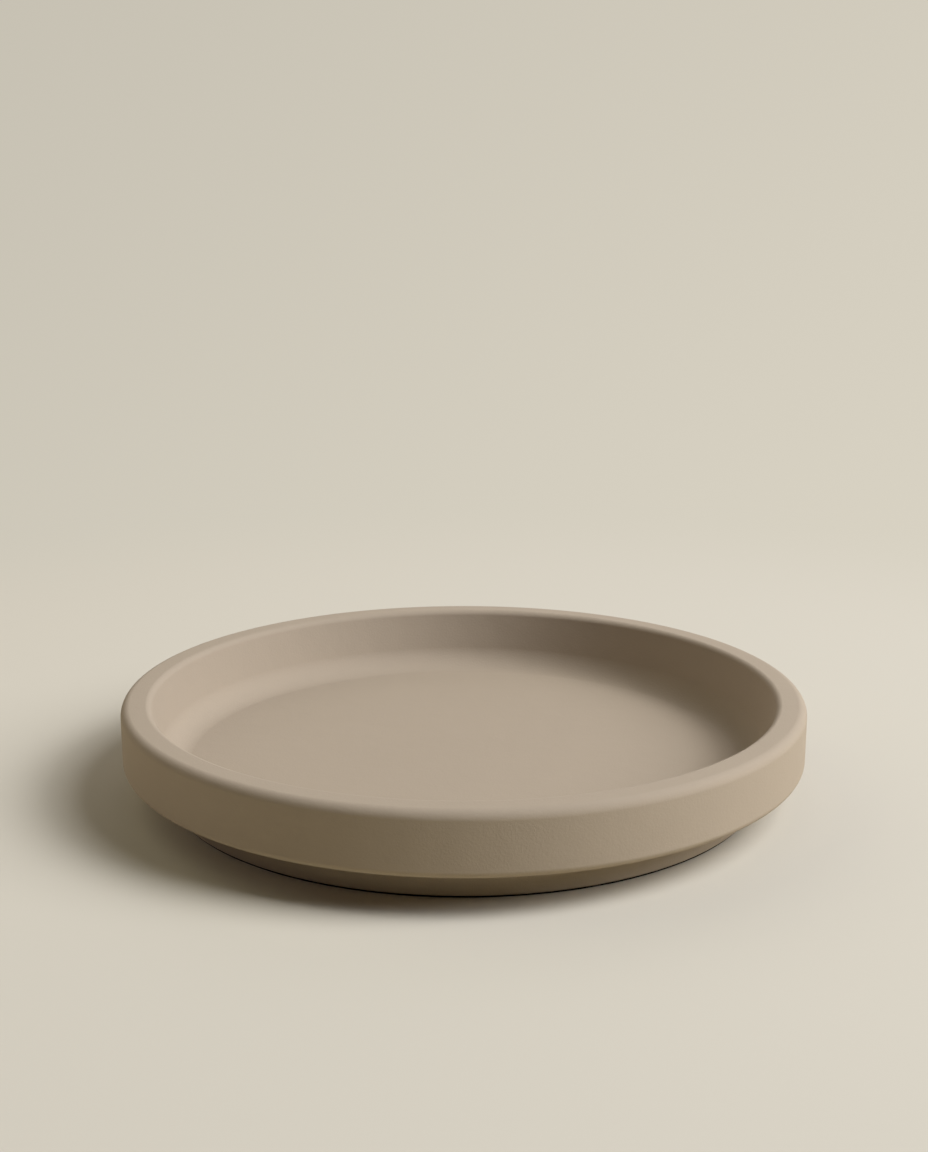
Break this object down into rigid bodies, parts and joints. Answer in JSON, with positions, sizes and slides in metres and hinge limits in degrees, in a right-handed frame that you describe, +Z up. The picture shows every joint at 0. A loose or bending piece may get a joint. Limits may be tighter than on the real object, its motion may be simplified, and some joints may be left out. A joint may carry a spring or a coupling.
{
  "type": "plant saucer",
  "caption": "Round matte stoneware saucer for a plant pot, with an upright overhanging wall, a rounded rim, a shallow flat well and a narrower foot with thin rubber pads set into it.",
  "frame": {"origin": "on the table, under the middle of the saucer", "axes": "+Z up along the saucer's axis of turning; X and Y lie in the table"},
  "size_m": [0.2, 0.2, 0.0279],
  "materials": {
    "stoneware": "matte, unglazed, fine sandy grain",
    "pad_rubber": "matte, smooth"
  },
  "bodies": {
    "root": {"saucer_body": "stoneware", "foot_pad_front_left": "pad_rubber", "foot_pad_front_right": "pad_rubber", "foot_pad_back_left": "pad_rubber", "foot_pad_back_right": "pad_rubber"}
  },
  "joints": []
}
